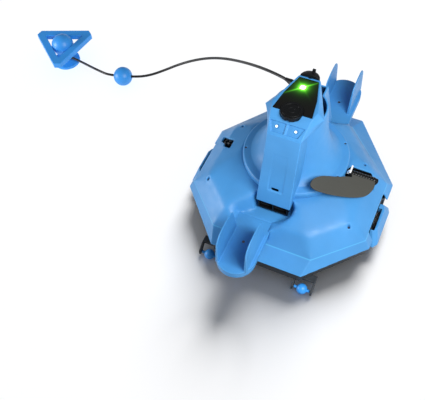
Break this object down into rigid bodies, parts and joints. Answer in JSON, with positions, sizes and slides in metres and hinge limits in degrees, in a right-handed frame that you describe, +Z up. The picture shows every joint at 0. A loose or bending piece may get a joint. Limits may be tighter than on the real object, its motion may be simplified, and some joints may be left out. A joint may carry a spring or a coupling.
{
  "type": "pool cleaner",
  "caption": "Free-running battery pool cleaner with side wheels, water-jet nozzles, a domed tower with a control head, and a floating retrieval cord.",
  "frame": {"origin": "on the pool floor under the middle of the machine, measured without the cord and float", "axes": "+Z up, -Y is the front jet, +X is the machine's right side seen from behind the front jet; +Y is the longest extent of the machine"},
  "size_m": [0.8169, 0.47, 0.2711],
  "materials": {
    "blue_shell": "satin moulded plastic",
    "blue_float": "satin moulded plastic, brighter blue",
    "grey_base": "fine-textured moulded plastic",
    "black_plastic": "matt moulded plastic",
    "black_gloss": "high gloss",
    "flap_grey": "matt sheet",
    "tyre_rubber": "ribbed rubber",
    "seal_rubber": "smooth rubber",
    "cord_jacket": "smooth jacket",
    "lamp_clear": "clear moulded lens",
    "led_green": "lit lens",
    "steel": "stainless",
    "zinc_bar": "zinc coated bar",
    "aluminium": "machined",
    "cell_wrap": "shrink-wrapped cells",
    "board_green": "lacquered board",
    "mesh_white": "fine mesh in a frame",
    "white_nylon": "smooth moulded nylon",
    "brass_bush": "plain bush"
  },
  "bodies": {
    "chassis": {"upper_shell": "blue_shell", "base_tray": "grey_base", "front_chute": "blue_shell", "rear_chute": "blue_shell", "tower_housing": "blue_shell", "head_bezel": "blue_shell", "display_cover": "black_gloss", "charge_socket": "black_plastic", "lamp_lenses": "lamp_clear", "status_led": "led_green", "front_nozzle": "black_plastic", "rear_nozzle": "black_plastic", "jet_duct": "grey_base", "shaft_bearing": "brass_bush", "shaft_seal": "seal_rubber", "motor": "steel", "motor_can": "aluminium", "battery_pack": "cell_wrap", "battery_cradle": "grey_base", "control_board": "board_green", "intake_throat": "grey_base", "filter_tray": "grey_base", "filter_screen": "mesh_white", "suction_funnel": "grey_base", "ballast_bars": "zinc_bar", "wheel_axles": "steel", "wheel_guard_left": "blue_shell", "wheel_guard_right": "blue_shell", "flap_bracket_left": "black_plastic", "flap_bracket_right": "black_plastic", "flap_pin": "white_nylon", "cord": "cord_jacket", "cord_grommet": "seal_rubber", "bead": "blue_float", "float_ball": "blue_float", "float_frame": "blue_float", "float_foot": "blue_float", "shell_screws": "steel", "tower_screws": "steel", "roller_pins": "steel", "roller_bracket_front_left": "grey_base", "roller_bracket_front_right": "grey_base", "roller_bracket_rear_left": "grey_base", "roller_bracket_rear_right": "grey_base"},
    "flap": {"steering_flap": "flap_grey"},
    "wheel_left": {"wheel_hub_left": "black_plastic", "tyre_left": "tyre_rubber"},
    "wheel_right": {"wheel_hub_right": "black_plastic", "tyre_right": "tyre_rubber"},
    "rotor": {"impeller": "black_plastic", "drive_shaft": "steel"},
    "selector": {"jet_selector": "grey_base"},
    "intake_front": {"front_intake_flap": "seal_rubber"},
    "intake_rear": {"rear_intake_flap": "seal_rubber"},
    "dial": {"power_dial": "black_plastic"},
    "cap": {"charge_cap": "seal_rubber"},
    "roller_front_left": {"roller_front_left": "blue_float"},
    "roller_front_right": {"roller_front_right": "blue_float"},
    "roller_rear_left": {"roller_rear_left": "blue_float"},
    "roller_rear_right": {"roller_rear_right": "blue_float"}
  },
  "joints": [
    {"name": "flap_hinge", "type": "hinge", "parent": "chassis", "child": "flap", "pos_m": [0.117, 0.0036, 0.11], "axis": [-0.8425, -0.3256, 0.4293], "range_deg": [0, 100]},
    {"name": "wheel_left_spin", "type": "hinge", "parent": "chassis", "child": "wheel_left", "pos_m": [-0.16, -0.023, 0.024], "axis": [1, 0, 0], "continuous": true},
    {"name": "wheel_right_spin", "type": "hinge", "parent": "chassis", "child": "wheel_right", "pos_m": [0.16, -0.023, 0.024], "axis": [1, 0, 0], "continuous": true},
    {"name": "roller_front_left_spin", "type": "hinge", "parent": "chassis", "child": "roller_front_left", "pos_m": [-0.084, -0.178, 0.009], "axis": [1, 0, 0], "continuous": true},
    {"name": "roller_front_right_spin", "type": "hinge", "parent": "chassis", "child": "roller_front_right", "pos_m": [0.084, -0.178, 0.009], "axis": [1, 0, 0], "continuous": true},
    {"name": "roller_rear_left_spin", "type": "hinge", "parent": "chassis", "child": "roller_rear_left", "pos_m": [-0.076, 0.166, 0.009], "axis": [1, 0, 0], "continuous": true},
    {"name": "roller_rear_right_spin", "type": "hinge", "parent": "chassis", "child": "roller_rear_right", "pos_m": [0.076, 0.166, 0.009], "axis": [1, 0, 0], "continuous": true},
    {"name": "rotor_spin", "type": "hinge", "parent": "chassis", "child": "rotor", "pos_m": [0, 0, 0.1], "axis": [0, 0, 1], "continuous": true},
    {"name": "selector_turn", "type": "hinge", "parent": "chassis", "child": "selector", "pos_m": [0, 0, 0.1], "axis": [0, 0, 1], "range_deg": [0, 180]},
    {"name": "intake_front_hinge", "type": "hinge", "parent": "chassis", "child": "intake_front", "pos_m": [0, -0.0162, 0.0255], "axis": [1, 0, 0], "range_deg": [0, 60]},
    {"name": "intake_rear_hinge", "type": "hinge", "parent": "chassis", "child": "intake_rear", "pos_m": [0, 0.0162, 0.0255], "axis": [-1, 0, 0], "range_deg": [0, 60]},
    {"name": "dial_turn", "type": "hinge", "parent": "chassis", "child": "dial", "pos_m": [-0.0015, -0.037, 0.26], "axis": [0, 0, 1], "range_deg": [0, 90]},
    {"name": "cap_hinge", "type": "hinge", "parent": "chassis", "child": "cap", "pos_m": [0, 0.0368, 0.2636], "axis": [1, 0, 0], "range_deg": [0, 90]}
  ]
}
